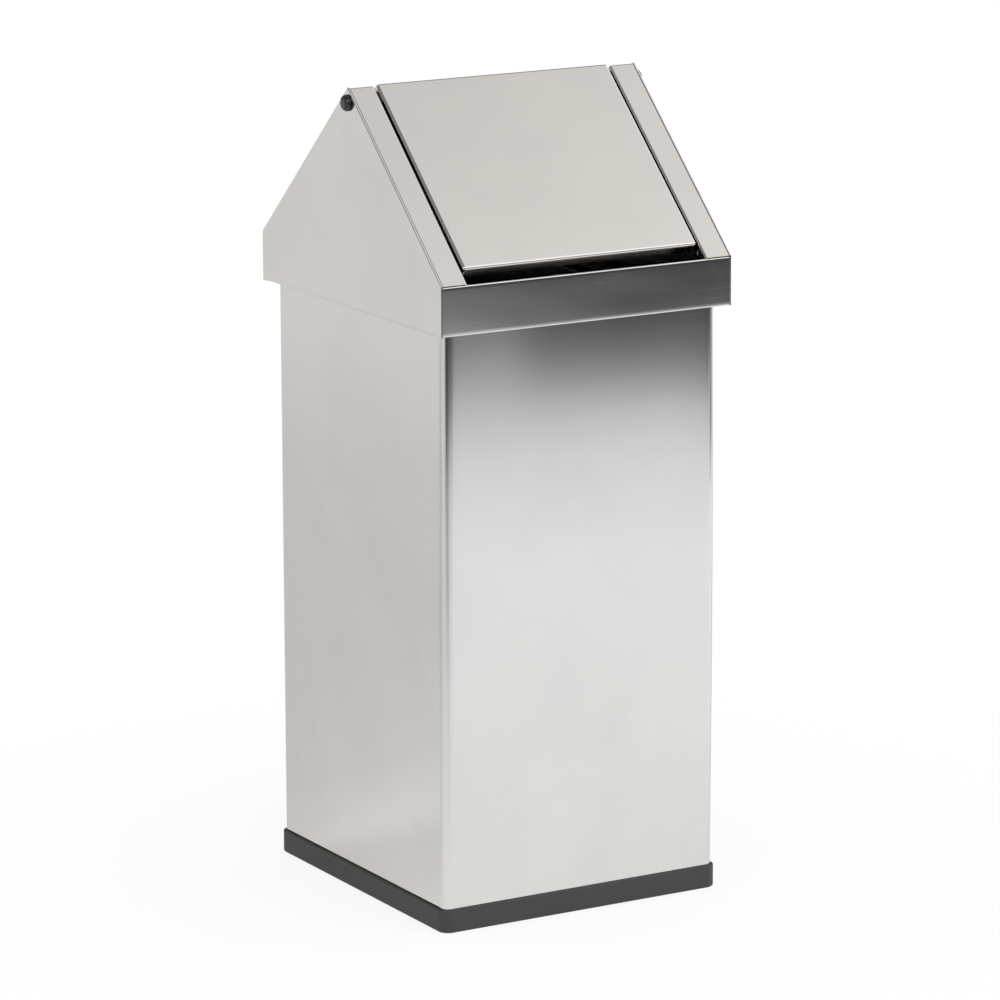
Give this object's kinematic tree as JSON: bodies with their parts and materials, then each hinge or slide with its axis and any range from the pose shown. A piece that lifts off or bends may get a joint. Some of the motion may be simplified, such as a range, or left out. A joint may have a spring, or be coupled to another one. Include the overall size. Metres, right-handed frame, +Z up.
{
  "type": "swing-lid waste bin",
  "caption": "Tall stainless waste bin with a saddle-roof hood, a roof flap that swings both ways on an axle, a lift-out liner and a dark plastic base.",
  "frame": {"origin": "on the floor, under the middle of the bin", "axes": "+Z up; -Y is the front; +X is to the right seen from the front, along the axle"},
  "size_m": [0.3204, 0.343, 0.7703],
  "materials": {
    "stainless": "satin",
    "galvanised": "zinc coated",
    "zinc_fastener": "bright zinc",
    "base_plastic": "matt moulded",
    "cap_plastic": "gloss",
    "nylon": "black"
  },
  "bodies": {
    "body": {"body_shell": "stainless", "bottom_pan": "stainless", "base_ring": "base_plastic", "base_screws": "zinc_fastener"},
    "liner": {"liner_shell": "galvanised", "liner_floor": "galvanised", "liner_rivets": "zinc_fastener"},
    "hood": {"left_gable": "stainless", "right_gable": "stainless", "front_fascia": "stainless", "rear_fascia": "stainless", "left_roof_strip": "stainless", "right_roof_strip": "stainless", "left_seat_rail": "galvanised", "right_seat_rail": "galvanised", "axle_rod": "zinc_fastener", "left_axle_cap": "cap_plastic", "right_axle_cap": "cap_plastic", "left_axle_clip": "zinc_fastener", "right_axle_clip": "zinc_fastener"},
    "flap": {"flap_panel": "stainless", "left_pivot_lug": "galvanised", "right_pivot_lug": "galvanised", "left_flap_bush": "nylon", "right_flap_bush": "nylon"}
  },
  "joints": [
    {"name": "liner_lift", "type": "slide", "parent": "body", "child": "liner", "axis": [0, 0, 1], "range_m": [0, 0.6]},
    {"name": "hood_lift", "type": "slide", "parent": "liner", "child": "hood", "axis": [0, 0, 1], "range_m": [0, 0.3]},
    {"name": "flap_swing", "type": "hinge", "parent": "hood", "child": "flap", "pos_m": [0, 0, 0.7557], "axis": [1, 0, 0], "range_deg": [-75, 75]}
  ]
}
